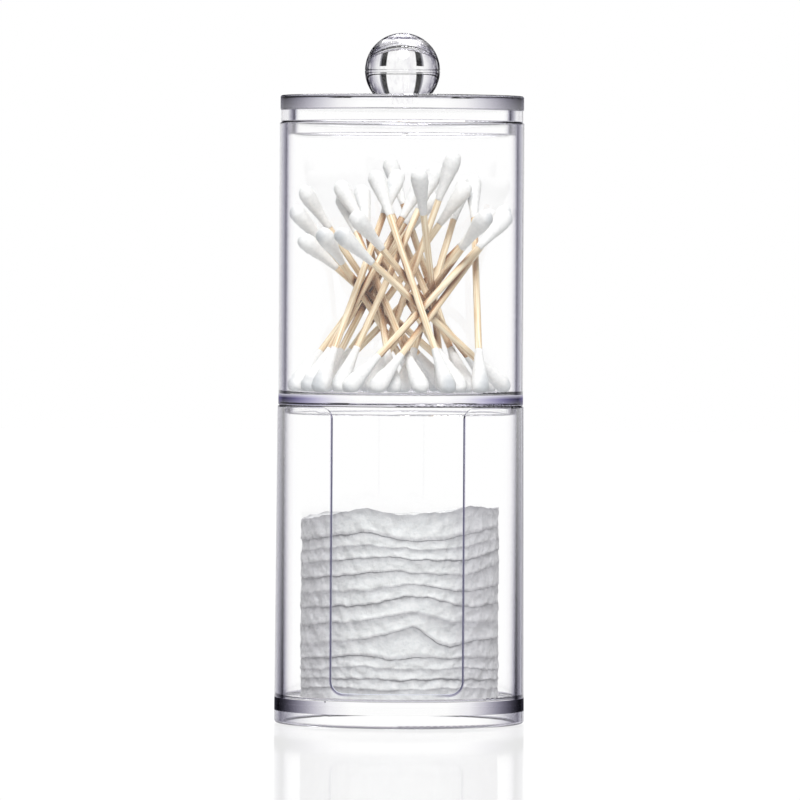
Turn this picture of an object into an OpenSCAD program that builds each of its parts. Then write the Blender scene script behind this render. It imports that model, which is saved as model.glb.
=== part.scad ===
// Two-tier clear jar: cotton pads in a slotted lower tier, cotton swabs in a lidded upper tier.
// Everything is in millimetres. The jar stands on z = 0 and its axis is the Z axis. The slot faces -Y.

/* [Pad holder] */
// Height of the lower tier, from the table to its rim
holder_h = 93; // [80:1:120]
// Outer diameter at the rim, which the tier above and the lid follow
holder_rim_d = 72.1; // [71:0.1:78]
// Wall thickness at the rim
holder_wall = 1.8; // [1.4:0.1:3]
// How much the outside widens in radius down to the foot, where the wall is thickest
foot_spread = 0.55; // [0.2:0.05:1.5]
// Height of the hollow foot under the floor
foot_h = 3.8; // [2:0.1:8]
// Thickness of the foot ring
foot_wall = 2.6; // [1.5:0.1:5]
// Thickness of the floor
holder_floor = 3.8; // [2:0.1:6]

/* [Front slot] */
// Width of the slot
slot_w = 37.8; // [20:0.1:50]
// Height of the slot's lower edge above the table
slot_z = 10; // [9:0.5:30]
// Radius of its lower corners
slot_corner_r = 3.6; // [1:0.1:10]
// Radius of the round corners where it opens at the rim
slot_flare_r = 3.6; // [1:0.1:8]

/* [Swab jar] */
// How far the swab jar's wall stands in from the lower tier's rim
jar_inset = 0.2; // [0:0.05:0.5]
// Wall thickness of the swab jar
jar_wall = 2; // [1.2:0.1:3]
// Height of the swab jar above the lower tier's rim
jar_h = 82.8; // [78:0.1:100]
// Thickness of its floor
jar_floor = 3.4; // [2:0.1:6]
// Depth of the spigot that drops into the lower tier
spigot_h = 2.5; // [1.5:0.1:8]
// Thickness of the spigot ring
spigot_wall = 2.2; // [1.2:0.1:5]

/* [Lid] */
// How far the lid's plate stands in from the swab jar's wall
lid_inset = 0.2; // [0:0.05:0.5]
// Thickness of the plate
lid_plate = 4.4; // [3.5:0.1:8]
// Height of the step between the plate and the jar's rim
lid_step_h = 3.5; // [2:0.1:8]
// How much smaller in radius the step is than the plate
lid_step_in = 0.2; // [0.1:0.1:1]
// Depth of the plug ring below the jar's rim
plug_h = 3.7; // [2:0.1:8]
// Thickness of the plug ring
plug_wall = 2.2; // [1.2:0.1:4]

/* [Knob] */
// Diameter of the ball
knob_d = 22; // [16:0.5:30]
// Height of the ball's centre above the lid
knob_rise = 7.4; // [4:0.1:10]
// Diameter of the glued peg under the ball
peg_d = 6; // [4:0.1:10]
// Length of the peg
peg_h = 2.6; // [1.5:0.1:3]
// Radius of the fine parting groove round the ball at its widest
parting_r = 0.15; // [0.05:0.05:0.4]

/* [Cotton pads] */
// Diameter of a pad
pad_d = 58; // [50:0.5:64]
// Thickness of a pad under the weight of those above
pad_t = 4.15; // [2.5:0.05:4.8]
// How far the pads are pushed off the axis
pad_shift = 0.7; // [0:0.1:1.5]
// Radius of a pad's soft edge
pad_edge_r = 1.2; // [0.4:0.1:1.2]

/* [Cotton swabs] */
// Length of a swab, tip to tip
swab_l = 75; // [70:0.5:77]
// Diameter of the wooden stick
stick_d = 2; // [1.6:0.1:2.4]
// Diameter of a cotton bud at its widest
bud_d = 5; // [4:0.1:5.4]
// Length of a cotton bud
bud_l = 15; // [10:0.5:18]
// Diameter of a bud where it thins out on the stick
bud_neck_d = 2.6; // [2.5:0.1:3.6]
// Cotton in front of the end of the stick
bud_cap = 3; // [1:0.1:4]

/* [Fits and edges] */
// Radial play between spigot and lower tier, and between plug ring and jar
ring_fit = 0.35; // [0.1:0.05:0.5]
// Play between the peg and its socket, filled with glue
peg_fit = 0.1; // [0.05:0.05:0.3]
// Room between a swab and the wall or floor that it leans on
lean_gap = 0.2; // [0.1:0.05:0.5]
// Least room between two swabs
swab_gap = 0.1; // [0.05:0.05:0.4]
// Radius of the moulded edges
edge_r = 0.5; // [0.2:0.1:0.7]

/* [Hidden] */
$fn = 96;
// Small overshoot that makes a cut pass right through
cut = 1;

pad_count = 13;
group_count = 9;

function two_digits(i) = i < 10 ? str("0", i) : str(i);
function pad_name(i) = str("pad_", two_digits(i + 1));
function sticks_name(g) = str("swab_sticks_", g + 1);
function buds_name(g) = str("swab_buds_", g + 1);

// Levels, from the table up
holder_floor_z = foot_h + holder_floor;
jar_floor_z = holder_h + jar_floor;
jar_rim_z = holder_h + jar_h;
plate_z = jar_rim_z + lid_step_h;
lid_top_z = plate_z + lid_plate;

// Radii that are tied to each other
rim_r = holder_rim_d / 2;
foot_r = rim_r + foot_spread;
holder_bore_r = rim_r - holder_wall;
spigot_r = holder_bore_r - ring_fit;
jar_r = rim_r - jar_inset;
jar_bore_r = jar_r - jar_wall;
plug_r = jar_bore_r - ring_fit;
lid_hollow_r = plug_r - plug_wall;
lid_r = jar_r - lid_inset;
step_r = lid_r - lid_step_in;

// A swab is handled by the centres of its two round tips
bud_r = bud_d / 2;
stick_r = stick_d / 2;
tip_span = swab_l - bud_d;
taper_l = bud_l - bud_r;
stick_l = swab_l - 2 * bud_cap;
foot_z = jar_floor_z + lean_gap + bud_r;
// Farthest a tip's centre can be from the axis
reach = jar_bore_r - lean_gap - bud_r;

// How each swab leans, as the places of its foot and its head on the plan of the jar, in shares of
// the reach. The foot stands on the floor, and the length of the swab gives the head its height.
leans = [
    [[0.45, -0.87], [-0.23, 0.06]],
    [[-0.43, -0.81], [0.98, -0.03]],
    [[0.74, -0.64], [0.67, 0.55]],
    [[0.97, 0.13], [-0.52, -0.81]],
    [[0.84, 0.40], [-0.39, -0.66]],
    [[0.13, 0.90], [-0.69, -0.66]],
    [[-0.35, 0.61], [0.77, -0.55]],
    [[0.68, 0.68], [-0.90, -0.35]],
    [[0.39, 0.71], [-0.98, -0.06]],
    [[0.30, 0.85], [-0.92, 0.26]],
    [[-0.21, -0.77], [0.94, 0.26]],
    [[-0.69, -0.68], [-0.06, 0.19]],
    [[-0.87, -0.45], [0.13, 0.10]],
    [[-0.26, 0.00], [0.48, -0.19]],
    [[-0.97, -0.19], [0.26, 0.52]],
    [[-0.52, -0.55], [0.26, 0.03]],
    [[0.03, -0.32], [0.58, 0.77]],
    [[-0.06, -0.58], [-0.39, 0.71]],
    [[0.55, -0.26], [-0.58, 0.35]],
    [[-0.71, 0.26], [0.58, 0.35]],
    [[-0.71, -0.23], [0.19, 0.71]],
    [[0.13, -0.65], [-0.55, 0.45]],
    [[0.58, 0.39], [-0.13, 0.90]],
    [[0.39, 0.26], [0.19, -0.84]],
    [[-0.65, 0.62], [0.80, 0.32]],
    [[0.71, 0.10], [-0.20, 0.85]],
    [[-0.90, 0.30], [0.30, 0.90]]
];
// How often a swab is shifted a little further to find a free place, and the first shift
tries = 60;
shift_step = 0.45;
// Turns between one shift and the next, of the foot and of the head, and the head's first direction
golden_turn = 137.5;
head_turn = 99.5;
head_start = 40;

function clamp(v, low, high) = min(max(v, low), high);
// A place on the plan, pulled in until the tip is inside the wall
function inside(p) = norm(p) > reach ? p * reach / norm(p) : p;
function spiral(k, turn, start) = shift_step * sqrt(k) * [cos(turn * k + start), sin(turn * k + start)];
// The ends of a swab that leans as asked, after k small shifts: [centre of the foot, unit direction]
function leaning(lean, k) =
    let (
        foot = inside(reach * lean[0] + spiral(k, golden_turn, 0)),
        head = inside(reach * lean[1] + spiral(k, head_turn, head_start)),
        run = head - foot,
        rise = sqrt(tip_span * tip_span - run * run)
    )
    [[foot.x, foot.y, foot_z], [run.x, run.y, rise] / tip_span];

// Radius of a swab at the distance s along it from the centre of its foot
function girth(s) =
    let (from_end = min(s, tip_span - s))
    from_end > taper_l ? stick_r : bud_r + (bud_neck_d / 2 - bud_r) * from_end / taper_l;
// True where the point at s on swab a keeps clear of swab b
function point_clear(a, b, s) =
    let (
        p = a[0] + s * a[1] - b[0],
        t = clamp(p * b[1], 0, tip_span)
    )
    norm(p - t * b[1]) > girth(s) + girth(t) + swab_gap;
// Distance along swab a of the place where it comes nearest to the line of swab b
function nearest(a, b) =
    let (
        w = b[0] - a[0],
        c = a[1] * b[1]
    )
    clamp((w * a[1] - c * (w * b[1])) / max(1 - c * c, 0.001), 0, tip_span);
function pair_clear(a, b) =
    norm(a[0] - b[0]) > bud_d + swab_gap
    && point_clear(a, b, nearest(a, b))
    && point_clear(b, a, nearest(b, a))
    && point_clear(a, b, tip_span)
    && point_clear(b, a, tip_span)
    && point_clear(a, b, 0)
    && point_clear(b, a, 0)
    && point_clear(a, b, tip_span - taper_l / 2)
    && point_clear(b, a, tip_span - taper_l / 2)
    && point_clear(a, b, taper_l / 2)
    && point_clear(b, a, taper_l / 2);
function all_clear(a, others, i = 0) =
    i == len(others) || (pair_clear(a, others[i]) && all_clear(a, others, i + 1));
// The first free place of one swab among those that stand already, as a list of one, or of none
function place(lean, others, k = 0) =
    k > tries
        ? []
        : let (swab = leaning(lean, k)) all_clear(swab, others) ? [swab] : place(lean, others, k + 1);
function bundle(standing = [], i = 0) =
    i == len(leans) ? standing : bundle(concat(standing, place(leans[i], standing)), i + 1);
swabs = bundle();

// A bar from corner a to corner b with its four edges rounded, to be revolved
module soft_bar(a, b, r) {
    translate([a.x + r, a.y]) square([b.x - a.x - 2 * r, b.y - a.y]);
    translate([a.x, a.y + r]) square([b.x - a.x, b.y - a.y - 2 * r]);
    for (x = [a.x + r, b.x - r], y = [a.y + r, b.y - r])
        translate([x, y]) circle(r);
}

// Half section of a disc from z = low to z = high with round edges, to be revolved
module soft_disc(r, low, high, round_r = edge_r) {
    intersection() {
        soft_bar([-r, low], [r, high], round_r);
        translate([0, low]) square([r, high - low]);
    }
}

// Half section of the lower tier's outside: a foot with a round edge and a wall that thins upwards
module holder_outside() {
    polygon([
        [0, 0],
        [foot_r - 2 * edge_r, 0],
        [foot_r, 2 * edge_r],
        [rim_r, holder_h - edge_r],
        [rim_r - edge_r, holder_h],
        [0, holder_h]
    ]);
    translate([foot_r - 2 * edge_r, 2 * edge_r]) circle(2 * edge_r);
    translate([rim_r - edge_r, holder_h - edge_r]) circle(edge_r);
}

// The hollow of a round tier from its floor up, with a fillet round the floor, to be revolved
module hollow(r, z, h) {
    fillet_r = 2 * edge_r;
    translate([0, z + fillet_r]) square([r, h]);
    translate([0, z]) square([r - fillet_r, h]);
    translate([r - fillet_r, z + fillet_r]) circle(fillet_r);
}

// Front view of the slot: round lower corners, and corners that flare out at the rim
module slot_outline() {
    half = slot_w / 2;
    flare_z = holder_h - slot_flare_r;
    translate([-half, slot_z + slot_corner_r]) square([slot_w, holder_h - slot_z]);
    translate([-half + slot_corner_r, slot_z])
        square([slot_w - 2 * slot_corner_r, holder_h - slot_z]);
    for (side = [-1, 1]) {
        translate([side * (half - slot_corner_r), slot_z + slot_corner_r]) circle(slot_corner_r);
        difference() {
            translate([side * (half + slot_flare_r / 2), flare_z + (slot_flare_r + cut) / 2])
                square([slot_flare_r, slot_flare_r + cut], center = true);
            translate([side * (half + slot_flare_r), flare_z]) circle(slot_flare_r);
        }
    }
}

module pad_holder() {
    color("lavender", 0.4)
    difference() {
        rotate_extrude()
            difference() {
                holder_outside();
                hollow(holder_bore_r, holder_floor_z, holder_h);
                translate([0, -cut]) square([foot_r - foot_wall, foot_h + cut]);
            }
        translate([0, -holder_bore_r / 2, 0])
            rotate([90, 0, 0])
                linear_extrude(2 * foot_r) slot_outline();
    }
}

module swab_jar() {
    color("lavender", 0.4)
    rotate_extrude()
        difference() {
            union() {
                soft_disc(jar_r, holder_h, jar_rim_z);
                soft_bar(
                    [spigot_r - spigot_wall, holder_h - spigot_h],
                    [spigot_r, holder_h + 2 * edge_r],
                    edge_r
                );
            }
            hollow(jar_bore_r, jar_floor_z, jar_h);
        }
}

module lid() {
    color("lavender", 0.5)
    difference() {
        rotate_extrude() {
            soft_disc(lid_r, plate_z, lid_top_z);
            soft_bar([lid_hollow_r, jar_rim_z], [step_r, plate_z + 2 * edge_r], edge_r);
            soft_bar([lid_hollow_r, jar_rim_z - plug_h], [plug_r, jar_rim_z + 2 * edge_r], edge_r);
        }
        translate([0, 0, lid_top_z - peg_h - peg_fit])
            cylinder(d = peg_d + 2 * peg_fit, h = peg_h + peg_fit + cut);
    }
}

module knob() {
    color("white", 0.5)
    translate([0, 0, lid_top_z]) {
        difference() {
            translate([0, 0, knob_rise])
                difference() {
                    sphere(d = knob_d);
                    rotate_extrude() translate([knob_d / 2, 0]) circle(parting_r);
                }
            translate([-knob_d, -knob_d, -2 * knob_d]) cube(2 * knob_d);
        }
        translate([0, 0, -peg_h]) cylinder(d = peg_d, h = peg_h + cut);
    }
}

// A pad is pushed off the axis a little, each one another way
module pad(i) {
    away = pad_shift * [cos(golden_turn * i), sin(golden_turn * i), 0];
    color("white")
    translate([0, 0, holder_floor_z + i * pad_t] + away)
        rotate_extrude()
            soft_disc(pad_d / 2, 0, pad_t, pad_edge_r);
}

// Puts its children at the centre of a swab's foot, with Z up along the stick
module along(swab) {
    lean = swab[1];
    translate(swab[0])
        rotate([0, acos(lean.z), atan2(lean.y, lean.x)])
            children();
}

module stick() {
    translate([0, 0, bud_cap - bud_r]) cylinder(d = stick_d, h = stick_l);
}

// A bud wound on the end of the stick, with its round tip at the origin
module bud() {
    difference() {
        union() {
            sphere(bud_r);
            cylinder(r1 = bud_r, d2 = bud_neck_d, h = taper_l);
        }
        translate([0, 0, bud_cap - bud_r]) cylinder(d = stick_d, h = bud_l);
    }
}

// Every group takes each swab whose turn it is
module swab_sticks(g) {
    color("burlywood")
    for (i = [g : group_count : len(swabs) - 1])
        along(swabs[i]) stick();
}

module swab_buds(g) {
    color("white")
    for (i = [g : group_count : len(swabs) - 1])
        along(swabs[i]) {
            bud();
            translate([0, 0, tip_span]) rotate([180, 0, 0]) bud();
        }
}

pad_holder();
for (i = [0 : pad_count - 1])
    pad(i);
swab_jar();
for (g = [0 : group_count - 1])
    swab_sticks(g);
for (g = [0 : group_count - 1])
    swab_buds(g);
lid();
knob();
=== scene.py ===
"""Looks of a clear two-tier jar with cotton pads and cotton swabs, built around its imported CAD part."""

import logging
import math
from collections.abc import Sequence
from dataclasses import dataclass, field
from enum import Enum

import bmesh
import bpy
import numpy as np
from mathutils import Matrix, Vector, noise


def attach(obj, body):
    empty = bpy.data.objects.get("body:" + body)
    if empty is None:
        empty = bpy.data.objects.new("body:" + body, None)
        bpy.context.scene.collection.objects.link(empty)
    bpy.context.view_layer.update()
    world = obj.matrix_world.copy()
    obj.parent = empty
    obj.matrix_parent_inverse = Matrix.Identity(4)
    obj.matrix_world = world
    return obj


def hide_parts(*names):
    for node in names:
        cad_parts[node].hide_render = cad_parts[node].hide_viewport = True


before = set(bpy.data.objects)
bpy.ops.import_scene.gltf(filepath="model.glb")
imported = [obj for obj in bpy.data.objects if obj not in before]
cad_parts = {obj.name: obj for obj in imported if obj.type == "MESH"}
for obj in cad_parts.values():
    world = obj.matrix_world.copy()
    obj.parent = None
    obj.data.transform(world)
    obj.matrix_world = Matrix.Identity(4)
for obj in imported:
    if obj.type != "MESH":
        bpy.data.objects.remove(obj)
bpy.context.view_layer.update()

MM = 0.001
log = logging.getLogger("jar")

Stops = Sequence[tuple[float, float]]


class Body(Enum):
    """Rigid bodies of the part."""

    HOLDER = "pad_holder"
    SWAB_JAR = "swab_jar"


class Slot(Enum):
    """Material slots of the record."""

    COTTON = "cotton"
    WOOD = "stick_wood"


def linear(code: str) -> tuple[float, float, float, float]:
    """Turns an sRGB colour into linear light.

    Args:
        code: The colour as "#RRGGBB".

    Returns:
        Linear red, green, blue and an alpha of 1.
    """
    parts = [int(code[i : i + 2], 16) / 255 for i in (1, 3, 5)]
    red, green, blue = (v / 12.92 if v <= 0.04045 else ((v + 0.055) / 1.055) ** 2.4 for v in parts)
    return red, green, blue, 1.0


def add_node(tree: bpy.types.NodeTree, kind: str, inputs: dict | None = None, **settings: object) -> bpy.types.Node:
    """Adds one node with its settings, values and links.

    Args:
        tree: The node tree that gets the node.
        kind: The node's type, such as "ShaderNodeMath".
        inputs: Input name or index, to its value or to the output socket that feeds it.
        settings: Attributes of the node itself; "stops" fills a colour ramp.

    Returns:
        The new node.
    """
    node = tree.nodes.new(kind)
    stops = settings.pop("stops", None)
    for name, value in settings.items():
        setattr(node, name, value)
    for key, value in (inputs or {}).items():
        if isinstance(value, bpy.types.NodeSocket):
            tree.links.new(value, node.inputs[key])
        else:
            node.inputs[key].default_value = value
    if stops:
        elements = node.color_ramp.elements
        while len(elements) < len(stops):
            elements.new(1.0)
        for element, (place, code) in zip(elements, stops):
            element.position = place
            element.color = linear(code) if isinstance(code, str) else code
    return node


def new_material(name: str) -> tuple[bpy.types.Material, bpy.types.NodeTree]:
    """Makes an empty node material and returns it with its node tree."""
    material = bpy.data.materials.new(name)
    material.use_nodes = True
    material.node_tree.nodes.clear()
    return material, material.node_tree


@dataclass(frozen=True)
class EdgeZone:
    """Painted shade on a clear piece from its middle out to its outline, over one stretch of its height.

    Attributes:
        low: Lower end of the stretch, in millimetres above the table.
        high: Upper end of the stretch.
        skin: Faces farther from the axis than this many millimetres are shaded, and the rest stay clear.
        shades: Millimetres seen beside the axis, with the grey level of painted shade from 0 to 255 that shows there.
        fade: Share of the shade that is gone at the lower and at the upper end.
        violet: How violet the shade is, where 1 is a trace.
    """

    low: float
    high: float
    skin: float
    shades: Stops
    fade: tuple[float, float] = (0.0, 0.0)
    violet: float = 1.0


@dataclass(frozen=True)
class EdgeLine:
    """Painted shade on clear plastic: how it darkens towards a line beside the axis, and clears again from there to its
    outline.

    Attributes:
        line: Where the dark line is seen, in millimetres beside the axis.
        dark: Grey level of the line, from 0 to 255.
        outline: Where the piece ends, in millimetres beside the axis.
        rim: Grey level at the outline.
        clear: Where the darkening starts, in millimetres beside the axis.
        growth: Power by which it grows, where a higher one keeps the dark closer to the line.
    """

    line: float
    dark: float
    outline: float
    rim: float
    clear: float = 28.0
    growth: float = 7.0

    def shades(self) -> Stops:
        """Returns millimetres beside the axis, with the grey level that shows there."""
        inner = [
            (self.clear + (self.line - self.clear) * share, 255 - (255 - self.dark) * share**self.growth)
            for share in (0.0, 0.3, 0.5, 0.65, 0.75, 0.85, 0.92, 0.97, 1.0)
        ]
        outer = [
            (self.line + (self.outline - self.line) * share, self.dark + (self.rim - self.dark) * share**0.8)
            for share in (0.2, 0.45, 0.7, 1.0)
        ]
        return tuple(inner + outer)


# Painted shade: a wall is clear but for a dark line where its bore is seen edge on
THIN_WALL = EdgeLine(line=33.85, dark=120, outline=35.85, rim=250, growth=9.0).shades()
DEEP_WALL = EdgeLine(line=34.25, dark=50, outline=36.6, rim=245).shades()
SPIGOT = EdgeLine(line=32.7, dark=55, outline=33.9, rim=210, clear=30.0, growth=3.0).shades()
LID_RING = EdgeLine(line=31.6, dark=85, outline=33.5, rim=240).shades()
# Painted shade: a solid disc is left clear through its middle and painted dark towards its ends
LID_PLATE = EdgeLine(line=34.5, dark=60, outline=35.65, rim=120, clear=12.0, growth=2.2).shades()
JAR_FLOOR = EdgeLine(line=34.5, dark=60, outline=35.85, rim=140, clear=12.0, growth=2.2).shades()
HOLDER_FLOOR = EdgeLine(line=35.5, dark=20, outline=36.6, rim=70, clear=14.0, growth=2.2).shades()
FOOT_RING = EdgeLine(line=34.8, dark=128, outline=36.6, rim=230, clear=18.0, growth=4.0).shades()
# Painted shade along the skin of a pad's rim, from 30 at its foot to 44 at its top: dark in the seams, pale between
PAINTED_PAD_RIM_SHADE: Stops = ((29.0, 200), (31.0, 220), (32.5, 248), (38.0, 234), (44.0, 200), (47.0, 236), (52.0, 250))
# Painted shade: the ball is left clear in its middle and painted dark round its outline, where paler streaks break it
# up
BALL = EdgeLine(line=10.6, dark=25, outline=11.0, rim=70, clear=6.0, growth=2.5).shades()


def violet_grey(level: float, violet: float = 1.0) -> tuple[float, float, float, float]:
    """Gives a grey level as a colour that is a little violet between black and white, used mostly for painted shade.

    Args:
        level: Grey level from 0 to 255.
        violet: How violet it is.

    Returns:
        The colour in linear light.
    """
    tint = 4 * violet * (level / 255) * (1 - level / 255)
    red, green, blue = (min(255, max(0, round(level + shift * tint))) for shift in (-2, -4, 9))
    return linear(f"#{red:02X}{green:02X}{blue:02X}")


@dataclass(frozen=True)
class MouldedAcrylic:
    """Clear acrylic, injection moulded in a polished tool.

    Attributes:
        name: The material's name.
        zones: Painted shade on the edges, from the table up.
        ball: Radius in millimetres if the piece is a ball, else 0.
        slot: Half width, foot and corner radius of a slot in the front, in millimetres, if there is one.
        ior: Refractive index of acrylic.
        roughness: Polish of the tool's steel.
        passed: Grey level from 0 to 255 of the light that one face passes on to what is inside.
    """

    name: str
    zones: tuple[EdgeZone, ...] = ()
    ball: float = 0.0
    slot: tuple[float, float, float] | None = None
    ior: float = 1.49
    roughness: float = 0.0
    passed: float = 254

    def make(self) -> bpy.types.Material:
        """Returns the material: clear, with painted dark lines where its faces are seen edge on."""
        material, tree = new_material(self.name)

        def maths(operation: str, *values: float | bpy.types.NodeSocket) -> bpy.types.NodeSocket:
            """Adds one sum and returns its result."""
            return add_node(tree, "ShaderNodeMath", dict(enumerate(values)), operation=operation).outputs[0]

        coords = add_node(tree, "ShaderNodeTexCoord").outputs
        place = add_node(tree, "ShaderNodeSeparateXYZ", {0: coords["Object"]}).outputs
        height = maths("DIVIDE", place["Z"], MM)
        flat = add_node(tree, "ShaderNodeCombineXYZ", {"X": place["X"], "Y": place["Y"]}).outputs[0]
        length = add_node(tree, "ShaderNodeVectorMath", {0: flat}, operation="LENGTH").outputs["Value"]
        radius = maths("DIVIDE", length, MM)
        # A face that leans away by an angle is seen at the radius times the angle's sine beside the axis
        facing = add_node(tree, "ShaderNodeLayerWeight", {"Blend": 0.5}).outputs["Facing"]
        sine = maths("SQRT", maths("MULTIPLY", facing, maths("SUBTRACT", 2.0, facing)))
        beside = maths("MULTIPLY", sine, self.ball or radius)
        colour = add_node(tree, "ShaderNodeRGB").outputs[0]
        colour.default_value = (1, 1, 1, 1)
        walls = 1.0
        if self.slot:
            # Distance from the slot's outline; its cut faces are on the outline and are not shaded
            half_width, foot, corner = self.slot
            across = maths("ABSOLUTE", maths("DIVIDE", place["X"], MM))
            over = maths("MAXIMUM", maths("SUBTRACT", across, half_width - corner), 0.0)
            under = maths("MAXIMUM", maths("SUBTRACT", foot + corner, height), 0.0)
            squares = maths("ADD", maths("POWER", over, 2.0), maths("POWER", under, 2.0))
            away = maths("SUBTRACT", maths("SQRT", squares), corner)
            front = maths("LESS_THAN", place["Y"], 0.0)
            walls = maths("SUBTRACT", 1.0, maths("MULTIPLY", front, maths("LESS_THAN", away, 0.03)))
        # Painted shade: each zone darkens the glass colour by how far beside the axis a face is seen
        for zone in self.zones:
            first, last = zone.shades[0][0], zone.shades[-1][0]
            stops = tuple(((mm - first) / (last - first), violet_grey(level, zone.violet)) for mm, level in zone.shades)
            run = add_node(tree, "ShaderNodeMapRange", {"Value": beside, "From Min": first, "From Max": last}).outputs[0]
            shade = add_node(tree, "ShaderNodeValToRGB", {0: run}, stops=stops).outputs[0]
            rise = add_node(
                tree, "ShaderNodeMapRange",
                {"Value": height, "From Min": zone.low, "From Max": zone.high, "To Min": zone.fade[0],
                 "To Max": zone.fade[1]},
            ).outputs[0]
            shade = self.blend(tree, rise, shade, (1, 1, 1, 1))
            middle, half = (zone.low + zone.high) / 2, (zone.high - zone.low) / 2
            here = maths("COMPARE", height, middle, half)
            outer = maths("MULTIPLY", walls, maths("GREATER_THAN", radius, zone.skin))
            colour = self.blend(tree, maths("MULTIPLY", here, outer), colour, shade)
        if self.slot:
            # Painted shade: the cut edge of the slot is painted through the wall beside it as a grey line
            line = add_node(
                tree, "ShaderNodeValToRGB", {0: away},
                stops=((0.0, violet_grey(176, 1.8)), (0.45, violet_grey(182, 1.8)), (0.65, violet_grey(226, 1.8)), (0.8, violet_grey(255))),
            ).outputs[0]
            front = maths("MULTIPLY", front, maths("GREATER_THAN", radius, 35.0))
            beyond = maths("MULTIPLY", maths("GREATER_THAN", away, 0.03), maths("LESS_THAN", away, 0.8))
            aside = add_node(
                tree, "ShaderNodeMapRange", {"Value": across, "From Min": 10.0, "From Max": 16.0}
            ).outputs[0]
            shown = maths("MULTIPLY", maths("MULTIPLY", front, beyond), aside)
            colour = self.blend(tree, shown, colour, line)
        # Painted shade: level faces, such as a floor or a rim, pass the light, and their rounded edges are painted
        # darker
        normal = add_node(tree, "ShaderNodeSeparateXYZ", {0: coords["Normal"]}).outputs
        steep = maths("ABSOLUTE", normal["Z"])
        if self.ball:
            # Painted reflection: the top of the ball is painted pale as if it mirrored the light above it, with a
            # painted dark ring under the pale cap
            top = add_node(
                tree, "ShaderNodeMapRange", {"Value": normal["Z"], "From Min": 0.6, "From Max": 0.8, "To Max": 0.9}
            ).outputs[0]
            cap = add_node(
                tree, "ShaderNodeValToRGB", {0: normal["Z"]},
                stops=((0.0, violet_grey(250)), (0.80, violet_grey(250)), (0.835, violet_grey(120)), (0.87, violet_grey(110)),
                       (0.90, violet_grey(215)), (1.0, violet_grey(235))),
            ).outputs[0]
            colour = self.blend(tree, top, colour, cap)
            # Painted light: paler streaks break up the painted shade round the outline
            stretch = add_node(
                tree, "ShaderNodeVectorMath", {0: coords["Object"], 1: (900.0, 900.0, 380.0)}, operation="MULTIPLY"
            ).outputs[0]
            streak = add_node(tree, "ShaderNodeTexNoise", {"Vector": stretch, "Scale": 1.0, "Detail": 2.0}).outputs[0]
            broken = add_node(
                tree, "ShaderNodeMapRange", {"Value": streak, "From Min": 0.48, "From Max": 0.66, "To Max": 0.55}
            ).outputs[0]
            colour = self.blend(tree, broken, colour, violet_grey(240))
        else:
            level = add_node(tree, "ShaderNodeMapRange", {"Value": steep, "From Min": 0.12, "From Max": 0.35}).outputs[0]
            edge = add_node(
                tree, "ShaderNodeValToRGB", {0: steep},
                stops=((0.3, violet_grey(205)), (0.75, violet_grey(215)), (0.96, violet_grey(252)), (1.0, violet_grey(253))),
            ).outputs[0]
            lifted = maths("MAXIMUM", maths("GREATER_THAN", height, 2.0), maths("GREATER_THAN", radius, 35.9))
            colour = self.blend(tree, maths("MULTIPLY", level, lifted), colour, edge)
        glass = add_node(
            tree, "ShaderNodeBsdfGlass", {"Color": colour, "Roughness": self.roughness, "IOR": self.ior}
        )
        clear = add_node(tree, "ShaderNodeBsdfTransparent", {"Color": violet_grey(self.passed)})
        rays = add_node(tree, "ShaderNodeLightPath").outputs
        through = maths("MAXIMUM", rays["Is Shadow Ray"], rays["Is Diffuse Ray"])
        body = glass.outputs[0]
        if self.slot:
            # The slot's cut faces are left matt by the tool, and so they glow softly
            matt = add_node(tree, "ShaderNodeBsdfDiffuse", {"Color": linear("#CDD0DE"), "Roughness": 0.3})
            cut = maths("SUBTRACT", 1.0, walls)
            body = add_node(tree, "ShaderNodeMixShader", {0: cut, 1: body, 2: matt.outputs[0]}).outputs[0]
        mix = add_node(tree, "ShaderNodeMixShader", {0: through, 1: body, 2: clear.outputs[0]})
        add_node(tree, "ShaderNodeOutputMaterial", {"Surface": mix.outputs[0]})
        return material

    @staticmethod
    def blend(
        tree: bpy.types.NodeTree,
        share: bpy.types.NodeSocket,
        below: bpy.types.NodeSocket | tuple,
        above: bpy.types.NodeSocket | tuple,
    ) -> bpy.types.NodeSocket:
        """Lays one colour over another by a share from 0 to 1, and returns the result."""
        return add_node(tree, "ShaderNodeMix", {0: share, 6: below, 7: above}, data_type="RGBA").outputs[2]


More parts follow.
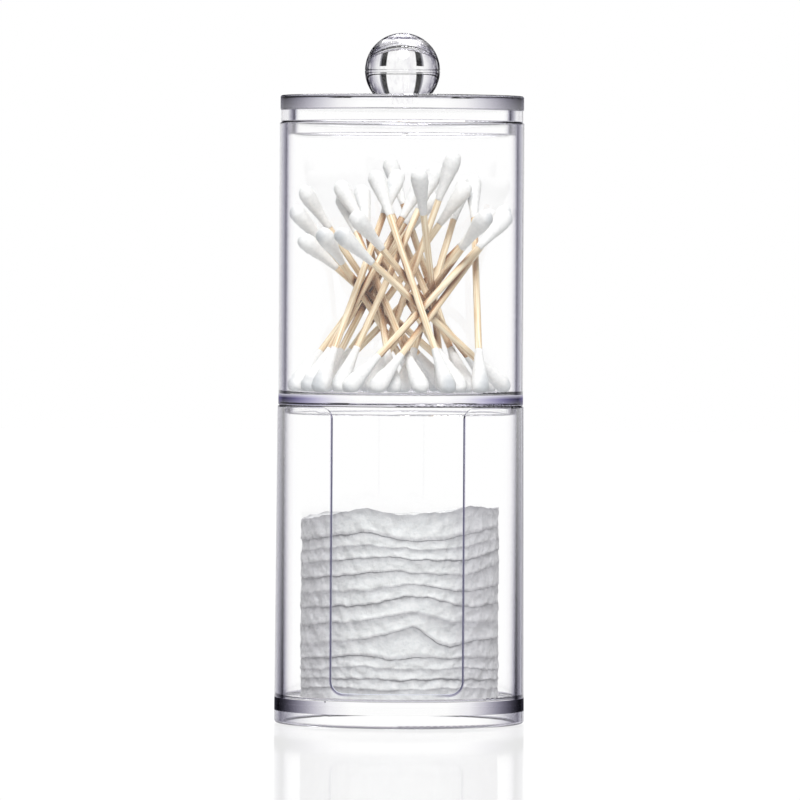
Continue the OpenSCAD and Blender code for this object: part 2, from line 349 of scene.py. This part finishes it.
@dataclass(frozen=True)
class CottonWool:
    """Bleached cotton, pressed or wound, matt and fibrous.

    Attributes:
        name: The material's name.
        light: Colour of the open fibres.
        shade: Colour of the closer fibres between them.
        clump: Size of the tufts in millimetres.
        fibre: Spacing of the fibres in millimetres, drawn as coarse as it needs to show.
        relief: Height of the tufts in millimetres.
        painted_hollow_shade: Painted shade deep between two pieces, where the light comes through cotton only.
        reach: How far from its neighbour a piece still gets painted shade, in millimetres.
        painted_rim_shade: Painted shade on a pad's rim from foot to top: steps along the skin, with a grey level from 0
            to 255.
    """

    name: str
    light: str = "#F4F5F5"
    shade: str = "#E6E9EA"
    clump: float = 1.3
    fibre: float = 0.4
    relief: float = 0.4
    painted_hollow_shade: str = "#C4C8CC"
    reach: float = 4.0
    painted_rim_shade: Stops = ()

    def make(self) -> bpy.types.Material:
        """Returns the material: soft white with a slightly cool, uneven nap, and painted shade near other pieces and,
        where given, down a pad's rim.
        """
        material, tree = new_material(self.name)
        place = add_node(tree, "ShaderNodeTexCoord").outputs["Object"]
        tufts = add_node(
            tree, "ShaderNodeTexNoise",
            {"Vector": place, "Scale": 1 / (self.clump * MM), "Detail": 3.0, "Roughness": 0.6},
        ).outputs[0]
        fibres = add_node(
            tree, "ShaderNodeTexNoise",
            {"Vector": place, "Scale": 1 / (self.fibre * MM), "Detail": 2.0, "Distortion": 1.2},
        ).outputs[0]
        colour = add_node(
            tree, "ShaderNodeValToRGB", {0: tufts}, stops=((0.3, self.shade), (0.65, self.light))
        ).outputs[0]
        # Painted shade: the cotton is darkened where another piece is near, by ambient occlusion
        nearby = add_node(
            tree, "ShaderNodeAmbientOcclusion", {"Distance": self.reach * MM}, samples=8
        ).outputs["AO"]
        open_air = add_node(tree, "ShaderNodeMapRange", {"Value": nearby, "From Min": 0.1, "From Max": 0.75}).outputs[0]
        colour = add_node(
            tree, "ShaderNodeMix", {0: open_air, 6: linear(self.painted_hollow_shade), 7: colour}, data_type="RGBA"
        ).outputs[2]
        if self.painted_rim_shade:
            # Painted shade: a pad's rim is painted greyer towards its top and at its foot, where the seams are
            along = add_node(
                tree, "ShaderNodeSeparateXYZ", {0: add_node(tree, "ShaderNodeTexCoord").outputs["UV"]}
            ).outputs["Y"]
            first, last = self.painted_rim_shade[0][0], self.painted_rim_shade[-1][0]
            run = add_node(tree, "ShaderNodeMapRange", {"Value": along, "From Min": first, "From Max": last}).outputs[0]
            stops = tuple(((mm - first) / (last - first), violet_grey(level, 0.3)) for mm, level in self.painted_rim_shade)
            rim = add_node(tree, "ShaderNodeValToRGB", {0: run}, stops=stops).outputs[0]
            colour = add_node(
                tree, "ShaderNodeMix", {0: 1.0, 6: colour, 7: rim}, data_type="RGBA", blend_type="MULTIPLY"
            ).outputs[2]
        height = add_node(
            tree, "ShaderNodeMath", {0: fibres, 1: 0.35, 2: tufts}, operation="MULTIPLY_ADD"
        ).outputs[0]
        bump = add_node(
            tree, "ShaderNodeBump", {"Strength": 0.6, "Distance": self.relief * MM, "Height": height}
        ).outputs[0]
        cotton = add_node(
            tree, "ShaderNodeBsdfPrincipled",
            {"Base Color": colour, "Roughness": 0.95, "IOR": 1.45, "Normal": bump, "Sheen Weight": 0.25,
             "Sheen Roughness": 0.6},
        )
        cotton.inputs["Specular IOR Level"].default_value = 0.15
        add_node(tree, "ShaderNodeOutputMaterial", {"Surface": cotton.outputs[0]})
        return material


@dataclass(frozen=True)
class TurnedBirch:
    """Pale birch, turned into thin sticks and left unvarnished.

    Attributes:
        name: The material's name.
        light: Colour of the early wood.
        dark: Colour of the late wood and of the pores.
        painted_hollow_shade: Painted shade deep in the bundle, warm because the light there has met wood many times.
        reach: How far from its neighbours a stick still gets painted shade, in millimetres.
    """

    name: str
    light: str = "#FFF3D8"
    dark: str = "#D9B78B"
    painted_hollow_shade: str = "#3A1F0C"
    reach: float = 7.0

    def make(self) -> bpy.types.Material:
        """Returns the material: matt cream wood with fine streaks along the stick, and painted shade deep in the
        bundle.
        """
        material, tree = new_material(self.name)
        grain = add_node(tree, "ShaderNodeTexCoord").outputs["UV"]
        # Around the stick the streaks are about 0.5 mm apart, along it they run for centimetres
        run = add_node(
            tree, "ShaderNodeVectorMath", {0: grain, 1: (12.0, 0.06, 1.0)}, operation="MULTIPLY"
        ).outputs[0]
        streaks = add_node(
            tree, "ShaderNodeTexNoise", {"Vector": run, "Scale": 1.0, "Detail": 3.0, "Distortion": 0.3}
        ).outputs[0]
        colour = add_node(
            tree, "ShaderNodeValToRGB", {0: streaks}, stops=((0.32, self.dark), (0.60, self.light))
        ).outputs[0]
        # Painted shade: the wood is darkened and warmed where other sticks are near, by ambient occlusion
        nearby = add_node(
            tree, "ShaderNodeAmbientOcclusion", {"Distance": self.reach * MM}, samples=8
        ).outputs["AO"]
        tint = add_node(
            tree, "ShaderNodeValToRGB", {0: nearby},
            stops=((0.3, self.painted_hollow_shade), (0.62, "#AE7A47"), (0.86, "#FFFFFF")),
        ).outputs[0]
        colour = add_node(
            tree, "ShaderNodeMix", {0: 1.0, 6: colour, 7: tint}, data_type="RGBA", blend_type="MULTIPLY"
        ).outputs[2]
        bump = add_node(
            tree, "ShaderNodeBump", {"Strength": 0.4, "Distance": 0.05 * MM, "Height": streaks}
        ).outputs[0]
        wood = add_node(
            tree, "ShaderNodeBsdfPrincipled",
            {"Base Color": colour, "Roughness": 0.6, "IOR": 1.5, "Normal": bump, "Specular IOR Level": 0.2},
        )
        add_node(tree, "ShaderNodeOutputMaterial", {"Surface": wood.outputs[0]})
        return material


@dataclass
class Draft:
    """Collects rings of points into the mesh of one piece.

    Attributes:
        points: Corners in metres.
        faces: Corner numbers of each face.
        places: For each corner, how far round (0 to 1) and how far along (in millimetres) it is.
    """

    points: list[tuple[float, float, float]] = field(default_factory=list)
    faces: list[tuple[int, ...]] = field(default_factory=list)
    places: list[tuple[float, float]] = field(default_factory=list)

    def add_rings(self, rings: np.ndarray, along: Sequence[float]) -> None:
        """Adds a closed skin over rings of points, with a fan at each end.

        Args:
            rings: Points in metres, as an array of ring, point and coordinate.
            along: Distance along the skin of each ring, in millimetres.
        """
        start = len(self.points)
        count, around = rings.shape[:2]
        self.points += [tuple(p) for p in rings.reshape(-1, 3)]
        self.places += [(j / around, along[i]) for i in range(count) for j in range(around)]
        for i in range(count - 1):
            for j in range(around):
                a, b = start + i * around + j, start + i * around + (j + 1) % around
                self.faces.append((a, b, b + around, a + around))
        for ring, flip in ((0, True), (count - 1, False)):
            hub = len(self.points)
            self.points.append(tuple(rings[ring].mean(axis=0)))
            self.places.append((0.5, along[ring]))
            for j in range(around):
                a, b = start + ring * around + j, start + ring * around + (j + 1) % around
                self.faces.append((hub, b, a) if flip else (hub, a, b))

    def build(self, name: str, material: bpy.types.Material) -> bpy.types.Object:
        """Makes the piece.

        Args:
            name: The piece's name.
            material: The finish that it gets.

        Returns:
            The new object, smooth shaded, with its places as a UV map.
        """
        mesh = bpy.data.meshes.new(name)
        mesh.from_pydata(self.points, [], self.faces)
        layer = mesh.uv_layers.new(name="places")
        corners = np.empty(len(mesh.loops), dtype=np.int32)
        mesh.loops.foreach_get("vertex_index", corners)
        layer.data.foreach_set("uv", np.array(self.places, dtype=np.float32)[corners].ravel())
        mesh.polygons.foreach_set("use_smooth", [True] * len(mesh.polygons))
        mesh.materials.append(material)
        mesh.validate()
        piece = bpy.data.objects.new(name, mesh)
        bpy.context.scene.collection.objects.link(piece)
        return piece


@dataclass
class PadStack:
    """The stack of cotton pads in the lower tier.

    Attributes:
        radius: Radius of a pad, in millimetres, as are all lengths here.
        floor: Height of the floor that the stack lies on.
        stations: Places across the front where the seams are given.
        seams: Heights of the pads' upper faces at the front rim at those places, from the lowest pad up.
        puff: How far a pad's rim slopes in from its foot to its top.
        soft: Rounding of the rim's foot.
        tuft: Depth of the unevenness round the rim.
        ripple: Height of the unevenness along a seam.
        sag: How much lower the top of the stack is at the back.
        gap: Half of the room between two pads.
        around: Points around a pad.
    """

    radius: float = 28.9
    floor: float = 7.62
    stations: tuple[float, ...] = (-29, -20, -10, 0, 4.4, 10, 14, 20, 29)
    seams: tuple[tuple[float, ...], ...] = (
        (10.3, 11.4, 11.1, 10.7, 10.9, 11.1, 11.2, 11.2, 10.3),
        (12.9, 14.2, 14.0, 13.8, 13.9, 14.0, 14.0, 14.1, 13.1),
        (15.6, 16.8, 17.5, 16.7, 16.9, 16.9, 17.0, 17.2, 15.9),
        (19.2, 19.9, 21.1, 19.7, 20.6, 20.6, 19.6, 20.3, 19.6),
        (22.9, 24.1, 25.6, 27.7, 30.0, 26.0, 22.8, 25.0, 25.2),
        (28.1, 30.0, 30.8, 32.8, 33.9, 32.4, 30.8, 30.4, 29.9),
        (33.7, 34.9, 35.4, 37.6, 38.4, 37.8, 36.4, 34.8, 35.5),
        (37.8, 39.1, 39.5, 41.2, 41.6, 41.1, 40.2, 39.3, 41.0),
        (42.5, 43.6, 44.6, 45.8, 44.9, 44.7, 44.4, 43.9, 47.2),
        (46.6, 48.0, 49.1, 49.7, 48.6, 48.8, 48.6, 48.5, 51.4),
        (50.1, 51.7, 52.8, 52.2, 51.8, 51.6, 51.5, 52.1, 54.4),
        (53.6, 55.2, 56.9, 54.8, 54.4, 54.3, 54.3, 56.0, 57.9),
        (59.4, 61.6, 63.8, 61.9, 61.7, 62.4, 62.0, 64.5, 63.2),
    )
    puff: float = 0.13
    soft: float = 0.04
    tuft: float = 0.45
    ripple: float = 0.45
    sag: float = 2.4
    gap: float = 0.01
    around: int = 360

    def seam(self, index: int, turn: np.ndarray) -> np.ndarray:
        """Gives the height of one seam round the rim.

        Args:
            index: Which seam, where 0 is the floor and the last is the top of the stack.
            turn: Angles round the stack, in radians.

        Returns:
            Height at each angle. The back takes the front's wave, half as strong and turned round.
        """
        if index == 0:
            return np.full(len(turn), self.floor)
        x, behind = np.cos(turn) * self.radius, np.clip(np.sin(turn), 0, 1)
        knots, values = np.array(self.stations), np.array(self.seams[index - 1])
        # A narrow bell over the straight run between the stations takes the corners off
        front = sum(0.2 * np.interp(x + shift, knots, values) for shift in (-2.2, -1.0, 0.0, 1.0, 2.2))
        back = values.mean() + 0.5 * (np.interp(-x, knots, values) - values.mean())
        if index == len(self.seams):
            back = back - self.sag
        weight = behind**0.7
        rough = [
            noise.fractal(Vector((math.cos(a) * 7.0, math.sin(a) * 7.0, 5.3 * index)), 1.0, 2.0, 4) for a in turn
        ]
        return front * (1 - weight) + back * weight + self.ripple * np.array(rough)

    def pad_rings(self, index: int) -> tuple[np.ndarray, list[float]]:
        """Lays out one pad.

        Args:
            index: The pad's place in the stack, from 0 at the bottom.

        Returns:
            The rings from the middle of its underside, over the rim, to the middle of its top,
            and the distance along them.
        """
        turn = np.arange(self.around) / self.around * 2 * math.pi
        cos, sin = np.cos(turn), np.sin(turn)
        lower, upper = self.seam(index, turn) + self.gap, self.seam(index + 1, turn) - self.gap
        middle, half = (upper + lower) / 2, (upper - lower) / 2
        away = 0.08 * np.array([math.cos(2.4 * index), math.sin(2.4 * index)])
        size = self.radius + 0.04 * math.sin(5.1 * index)
        # Each pad hangs out over the one below it, more in some places than in others
        depth = np.array(
            [1 + 0.8 * noise.noise(Vector((math.cos(a) * 3.0, math.sin(a) * 3.0, 9.1 * index))) for a in turn]
        )
        rings, along = [], []

        def lay(reach: np.ndarray, rise: np.ndarray, distance: float, rough: float) -> None:
            """Adds one ring at a reach from the axis and a height, with the tufts' unevenness."""
            ring = np.stack([cos * reach + away[0], sin * reach + away[1], rise], axis=1)
            for point in ring:
                spot = Vector(point)
                lump = noise.fractal(spot * 0.28, 1.0, 2.0, 2) + 0.3 * noise.noise(spot * 0.9)
                point[:2] *= 1 + rough * lump / self.radius
            rings.append(ring * MM)
            along.append(distance)

        shares = (0.01, 0.25, 0.5, 0.7, 0.82, 0.9)
        edge = size - self.puff
        for share in shares:
            flat = lower.mean() + (lower - lower.mean()) * share**2
            lay(np.full(self.around, share * edge), flat, share * 29.0, 0.0)
        steps = 14
        for step in range(steps + 1):
            t = -math.cos(step / steps * math.pi)
            up = (t + 1) / 2
            slope = self.puff * up**1.6 + self.soft * max(0.0, 1 - up / 0.25) ** 2
            lay(size - slope * depth, middle + half * t, 30.0 + 14.0 * up, self.tuft)
        for share in reversed(shares):
            flat = upper.mean() + (upper - upper.mean()) * share**2
            lay(np.full(self.around, share * edge), flat, 75.0 - share * 29.0, 0.0)
        return np.array(rings), along

    def build(self, finish: bpy.types.Material) -> None:
        """Builds the pads, each in its node's place, and reports them."""
        for index in range(len(self.seams)):
            node = f"pad_{index + 1:02d}"
            draft = Draft()
            draft.add_rings(*self.pad_rings(index))
            piece = draft.build(f"cotton_{node}", finish)
            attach(piece, Body.HOLDER.value)
            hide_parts(node)
            log.info("%s: %d faces", piece.name, len(piece.data.polygons))


@dataclass
class Swabs:
    """The cotton swabs in the upper tier, made over the sticks and buds of the part.

    Attributes:
        groups: How many nodes the swabs are shared among.
        stick_r: Radius of a stick, in millimetres, as are all lengths here.
        cap: Cotton in front of the end of the stick.
        bud: Radius of a bud at distances from its tip.
        ridge: Height of the wound cotton's ridges.
        pitch: Distance between the ridges along the bud.
    """

    groups: int = 9
    stick_r: float = 1.0
    cap: float = 3.0
    bud: tuple[tuple[float, float], ...] = (
        (0.0, 0.05), (0.12, 0.75), (0.4, 1.3), (0.9, 1.85), (1.6, 2.25), (2.5, 2.46), (3.5, 2.5), (4.8, 2.42),
        (6.2, 2.22), (7.8, 1.95), (9.4, 1.68), (11.0, 1.45), (12.6, 1.27), (14.0, 1.13), (15.0, 1.02),
    )
    ridge: float = 0.05
    pitch: float = 2.2

    def sticks(self, node: str) -> list[tuple[Vector, Vector]]:
        """Finds where the sticks of a node are.

        Args:
            node: Name of a node of sticks.

        Returns:
            The two ends of each stick, in metres, the lower one first.
        """
        draft = bmesh.new()
        draft.from_mesh(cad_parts[node].data)
        bmesh.ops.remove_doubles(draft, verts=draft.verts, dist=1e-6)
        left, ends = set(draft.verts), []
        while left:
            island, front = set(), [min(left, key=lambda v: v.index)]
            while front:
                vert = front.pop()
                if vert in island:
                    continue
                island.add(vert)
                front += [edge.other_vert(vert) for edge in vert.link_edges]
            left -= island
            points = np.array([v.co for v in island])
            centre = points.mean(axis=0)
            axis = np.linalg.svd(points - centre, full_matrices=False)[2][0]
            reach = (points - centre) @ axis
            pair = [Vector(centre + axis * reach.min()), Vector(centre + axis * reach.max())]
            ends.append(tuple(sorted(pair, key=lambda p: p.z)))
        draft.free()
        return sorted(ends, key=lambda pair: tuple(pair[0]))

    @staticmethod
    def tube(
        start: Vector, axis: Vector, stations: Sequence[float], radii: np.ndarray, around: int
    ) -> np.ndarray:
        """Lays rings along a straight line.

        Args:
            start: Where the line starts, in metres.
            axis: Its unit direction.
            stations: Distance of each ring from the start, in millimetres.
            radii: Radius of each point, in millimetres, as an array of ring and point.
            around: Points in a ring.

        Returns:
            The points in metres, as an array of ring, point and coordinate.
        """
        turn = axis.to_track_quat("Z", "Y").to_matrix()
        side, up = np.array(turn.col[0]), np.array(turn.col[1])
        angle = np.arange(around) / around * 2 * math.pi
        spokes = np.cos(angle)[:, None] * side + np.sin(angle)[:, None] * up
        line = np.array(start) + np.array(stations)[:, None] * MM * np.array(axis)
        return line[:, None, :] + radii[:, :, None] * MM * spokes[None]

    def add_bud(self, draft: Draft, tip: Vector, inward: Vector, seed: int) -> None:
        """Adds one bud, wound round the end of its stick.

        Args:
            draft: The piece that gets the bud.
            tip: The bud's tip, in metres.
            inward: Unit direction from the tip along the stick.
            seed: Number that sets this bud's unevenness.
        """
        around = 22
        places = [s for s, _ in self.bud]
        fine = np.interp(np.linspace(0, len(places) - 1, 29), range(len(places)), places)
        shape = np.interp(fine, places, [r for _, r in self.bud])
        angle = np.arange(around) / around * 2 * math.pi
        radii = np.empty((len(fine), around))
        for i, s in enumerate(fine):
            for j, a in enumerate(angle):
                spot = Vector((math.cos(a) * 0.9, math.sin(a) * 0.9, s * 0.35 + 17.3 * seed))
                lump = noise.fractal(spot, 1.0, 2.0, 3)
                wound = math.sin(a + s / self.pitch * 2 * math.pi + seed)
                radii[i, j] = shape[i] * (1 + 0.05 * lump) + self.ridge * wound * min(1.0, shape[i] - 0.9)
        radii = np.maximum(radii, 0.02)
        draft.add_rings(self.tube(tip, inward, fine, radii, around), list(fine))

    def build(self, wood: bpy.types.Material, cotton: bpy.types.Material) -> None:
        """Builds each group's sticks and buds in their nodes' places, and reports them."""
        seed = 0
        for group in range(1, self.groups + 1):
            sticks, buds = Draft(), Draft()
            for low, high in self.sticks(f"swab_sticks_{group}"):
                axis = (high - low).normalized()
                length = (high - low).length / MM
                stations = np.linspace(0, length, 24)
                around = 16
                radii = np.full((24, around), self.stick_r)
                rings = self.tube(low, axis, stations, radii, around)
                start = len(sticks.places)
                sticks.add_rings(rings, list(stations))
                sticks.places[start:] = [(u, v + 97.0 * seed) for u, v in sticks.places[start:]]
                for end, way in ((low, axis), (high, -axis)):
                    seed += 1
                    self.add_bud(buds, end - way * self.cap * MM, way, seed)
            for draft, kind, finish, slot in (
                (sticks, "swab_sticks", wood, Slot.WOOD), (buds, "swab_buds", cotton, Slot.COTTON),
            ):
                piece = draft.build(f"{'birch' if slot is Slot.WOOD else 'wound'}_{kind}_{group}", finish)
                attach(piece, Body.SWAB_JAR.value)
                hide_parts(f"{kind}_{group}")
                log.info("%s: %d faces", piece.name, len(piece.data.polygons))


@dataclass
class ClearShells:
    """The clear moulded pieces, which keep the part's own solids.

    Attributes:
        finishes: The finish of each node.
    """

    finishes: dict[str, MouldedAcrylic] = field(
        default_factory=lambda: {
            "pad_holder": MouldedAcrylic(
                "clear_acrylic_holder",
                (
                    EdgeZone(-1, 3.8, 35, FOOT_RING),
                    EdgeZone(3.8, 7.6, 35, HOLDER_FLOOR),
                    EdgeZone(7.6, 94, 35, DEEP_WALL, (0.0, 0.35)),
                ),
                slot=(18.9, 10.0, 3.6),
                passed=246,
            ),
            "swab_jar": MouldedAcrylic(
                "clear_acrylic_jar",
                (
                    EdgeZone(90, 93, 33, SPIGOT),
                    EdgeZone(93, 94.4, 34.9, JAR_FLOOR, (0.4, 0.1), 2.6),
                    EdgeZone(94.4, 95.3, 34.9, JAR_FLOOR, (0.1, 0.0), 2.6),
                    EdgeZone(95.3, 96.4, 34.9, JAR_FLOOR, (0.0, 0.7), 2.6),
                    EdgeZone(96.4, 177, 34.9, THIN_WALL),
                ),
            ),
            "lid": MouldedAcrylic(
                "clear_acrylic_lid",
                (EdgeZone(171, 179.3, 32.4, LID_RING), EdgeZone(179.3, 185, 34.9, LID_PLATE, (0.25, 0.0))),
            ),
            "knob": MouldedAcrylic("cast_acrylic_knob", (EdgeZone(183.8, 203, 0, BALL),), ball=11.0),
        }
    )

    def dress(self) -> None:
        """Gives each clear node its finish, and reports it."""
        for node, finish in self.finishes.items():
            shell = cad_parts[node]
            material = finish.make()
            shell.data.materials.clear()
            shell.data.materials.append(material)
            log.info("%s: %s", node, material.name)


@dataclass
class Studio:
    """White table, soft light all round and the camera.

    Attributes:
        eye: Height of the camera, in millimetres, as are all lengths here.
        aim: Height that the middle of the picture shows.
        aside: How far the camera stands to the left of the jar's axis.
        distance: From the camera to the jar's axis.
        view: Side of the square that the picture shows at the jar's axis.
        roll: Tilt of the camera about its own line of sight, in degrees.
        round_by: How far the camera stands round to the right of the jar's front, in degrees.
    """

    eye: float = 138.6
    aim: float = 94.6
    aside: float = 0.2
    distance: float = 2500.0
    view: float = 234.4
    roll: float = 0.32
    round_by: float = 1.4

    def light(self) -> None:
        """Makes the surroundings: white all round, with the dark strips that shape the ball's look."""
        world = bpy.data.worlds.new("studio")
        bpy.context.scene.world = world
        world.use_nodes = True
        world.cycles.sampling_method = "NONE"
        tree = world.node_tree
        tree.nodes.clear()
        way = add_node(tree, "ShaderNodeTexCoord").outputs["Generated"]
        split = add_node(tree, "ShaderNodeSeparateXYZ", {0: way}).outputs
        bearing = add_node(tree, "ShaderNodeMath", {0: split["X"], 1: split["Y"]}, operation="ARCTAN2").outputs[0]
        bearing = add_node(tree, "ShaderNodeMath", {0: bearing}, operation="ABSOLUTE").outputs[0]
        rays = add_node(tree, "ShaderNodeLightPath").outputs

        def maths(operation: str, *values: float | bpy.types.NodeSocket) -> bpy.types.NodeSocket:
            """Adds one sum and returns its result."""
            return add_node(tree, "ShaderNodeMath", dict(enumerate(values)), operation=operation).outputs[0]

        # Light on the cotton and the wood: from the front and above, weaker from the sides and behind
        share = maths("DIVIDE", bearing, math.pi)
        round_about = add_node(
            tree, "ShaderNodeValToRGB", {0: share},
            stops=((0.0, "#D8DADC"), (0.25, "#B0B3B6"), (0.5, "#8E9296"), (0.72, "#E2E3E4"), (1.0, "#FFFFFF")),
        ).outputs[0]
        lift = add_node(
            tree, "ShaderNodeMapRange",
            {"Value": split["Z"], "From Min": 0.0, "From Max": 0.9, "To Min": 0.15, "To Max": 0.36},
        ).outputs[0]
        soft = add_node(tree, "ShaderNodeBackground", {"Color": round_about, "Strength": lift})
        # What clear plastic bends: white panels on four sides, with a dark strip beside each of them
        quarter = maths("DIVIDE", maths("PINGPONG", bearing, math.pi / 4), math.pi / 4)
        strips = add_node(
            tree, "ShaderNodeValToRGB", {0: quarter},
            stops=(
                (0.0, "#FFFFFF"), (0.35, "#FFFFFF"), (0.365, "#000000"), (0.505, "#000000"), (0.52, "#707078"),
                (0.56, "#A0A0A6"), (0.585, "#FFFFFF"), (1.0, "#FFFFFF"),
            ),
        ).outputs[0]
        level = maths("COMPARE", split["Z"], 0.007, 0.073)
        panels = add_node(
            tree, "ShaderNodeMix", {0: level, 6: strips, 7: linear("#FFFFFF")}, data_type="RGBA"
        ).outputs[2]
        # What it mirrors: a dim room with a bright panel overhead
        above = add_node(
            tree, "ShaderNodeValToRGB", {0: split["Z"]},
            stops=((0.0, "#9C9CB2"), (0.12, "#606068"), (0.45, "#505058"), (0.60, "#FFFFFF"), (1.0, "#FFFFFF")),
        ).outputs[0]
        low = maths("MAXIMUM", maths("COMPARE", split["Z"], 0.0, 0.09), maths("SUBTRACT", 1.0, rays["Is Singular Ray"]))
        room = add_node(tree, "ShaderNodeMix", {0: low, 6: above, 7: linear("#FFFFFF")}, data_type="RGBA").outputs[2]
        seen = add_node(
            tree, "ShaderNodeMix", {0: rays["Is Reflection Ray"], 6: panels, 7: room}, data_type="RGBA"
        ).outputs[2]
        shaped = add_node(tree, "ShaderNodeBackground", {"Color": seen, "Strength": 1.0})
        plain = add_node(tree, "ShaderNodeBackground", {"Color": (1, 1, 1, 1), "Strength": 1.0})
        plainly = maths("MAXIMUM", maths("GREATER_THAN", rays["Ray Depth"], 3.5), rays["Is Camera Ray"])
        mixed = add_node(tree, "ShaderNodeMixShader", {0: plainly, 1: shaped.outputs[0], 2: plain.outputs[0]})
        whole = add_node(
            tree, "ShaderNodeMixShader", {0: rays["Is Diffuse Ray"], 1: mixed.outputs[0], 2: soft.outputs[0]}
        )
        add_node(tree, "ShaderNodeOutputWorld", {"Surface": whole.outputs[0]})

    @staticmethod
    def hang_lamp(name: str, bearing: float, rise: float, strength: float, spread: float) -> None:
        """Hangs a far, broad lamp.

        Args:
            name: The lamp's name.
            bearing: Where it hangs, in degrees round to the right from the jar's front.
            rise: How high it hangs, in degrees.
            strength: Its light on a face that looks at it, in watts per square metre.
            spread: Angle that it fills, in degrees.
        """
        data = bpy.data.lights.new(name, "SUN")
        data.energy, data.angle = strength, math.radians(spread)
        lamp = bpy.data.objects.new(name, data)
        bpy.context.scene.collection.objects.link(lamp)
        turn, up = math.radians(bearing), math.radians(rise)
        way = Vector((math.sin(turn) * math.cos(up), -math.cos(turn) * math.cos(up), math.sin(up)))
        lamp.rotation_euler = way.to_track_quat("Z", "Y").to_euler()

    def lay_table(self) -> None:
        """Makes the white table top: opal acrylic lit from below, which mirrors the jar faintly."""
        mesh = bpy.data.meshes.new("table_top")
        half = 4.0
        mesh.from_pydata([(-half, -half, 0), (half, -half, 0), (half, half, 0), (-half, half, 0)], [], [(0, 1, 2, 3)])
        table = bpy.data.objects.new("table_top", mesh)
        bpy.context.scene.collection.objects.link(table)
        material, tree = new_material("opal_acrylic_table")
        rays = add_node(tree, "ShaderNodeLightPath").outputs
        # The light from below is dimmed where it would fall on the jar, which is lit from above
        dim = add_node(tree, "ShaderNodeMapRange", {"Value": rays["Is Diffuse Ray"], "To Min": 1.02, "To Max": 0.22})
        glow = add_node(tree, "ShaderNodeEmission", {"Color": (1, 1, 1, 1), "Strength": dim.outputs[0]})
        gloss = add_node(tree, "ShaderNodeBsdfGlossy", {"Color": (1, 1, 1, 1), "Roughness": 0.06})
        mix = add_node(tree, "ShaderNodeMixShader", {0: 0.22, 1: glow.outputs[0], 2: gloss.outputs[0]})
        add_node(tree, "ShaderNodeOutputMaterial", {"Surface": mix.outputs[0]})
        mesh.materials.append(material)
        table.visible_transmission = False

    def set_camera(self) -> None:
        """Stands the camera at the photograph's place, level with the upper tier's foot."""
        data = bpy.data.cameras.new("camera")
        data.sensor_width = 36.0
        data.lens = data.sensor_width * self.distance / self.view
        data.clip_start, data.clip_end = 0.1, 50.0
        camera = bpy.data.objects.new("camera", data)
        bpy.context.scene.collection.objects.link(camera)
        place = Vector((-self.aside, -self.distance, self.eye)) * MM
        target = Vector((-self.aside, 0.0, self.aim)) * MM
        turn = (target - place).to_track_quat("-Z", "Y").to_matrix().to_4x4()
        camera.matrix_world = (
            Matrix.Rotation(math.radians(self.round_by), 4, "Z")
            @ Matrix.Translation(place) @ turn @ Matrix.Rotation(math.radians(self.roll), 4, "Z")
        )
        bpy.context.scene.camera = camera

    def build(self) -> None:
        """Sets the whole studio up."""
        scene = bpy.context.scene
        scene.view_settings.view_transform = "Standard"
        scene.cycles.max_bounces = 24
        scene.cycles.transmission_bounces = 20
        scene.cycles.transparent_max_bounces = 24
        self.light()
        self.hang_lamp("key", 5.0, 52.0, 3.2, 34.0)
        self.hang_lamp("back", 195.0, 50.0, 1.7, 40.0)
        self.lay_table()
        self.set_camera()


def main() -> None:
    """Builds the studio and the object, part by part."""
    logging.basicConfig(level=logging.INFO, format="%(message)s")
    Studio().build()
    ClearShells().dress()
    PadStack().build(CottonWool("pressed_cotton", painted_hollow_shade="#E8EAEC", reach=1.0, painted_rim_shade=PAINTED_PAD_RIM_SHADE).make())
    Swabs().build(
        TurnedBirch("turned_birch").make(),
        CottonWool("wound_cotton", light="#F5F5F4", shade="#E8E9E9", clump=0.9, fibre=0.25, relief=0.15).make(),
    )


if __name__ == "__main__":
    main()
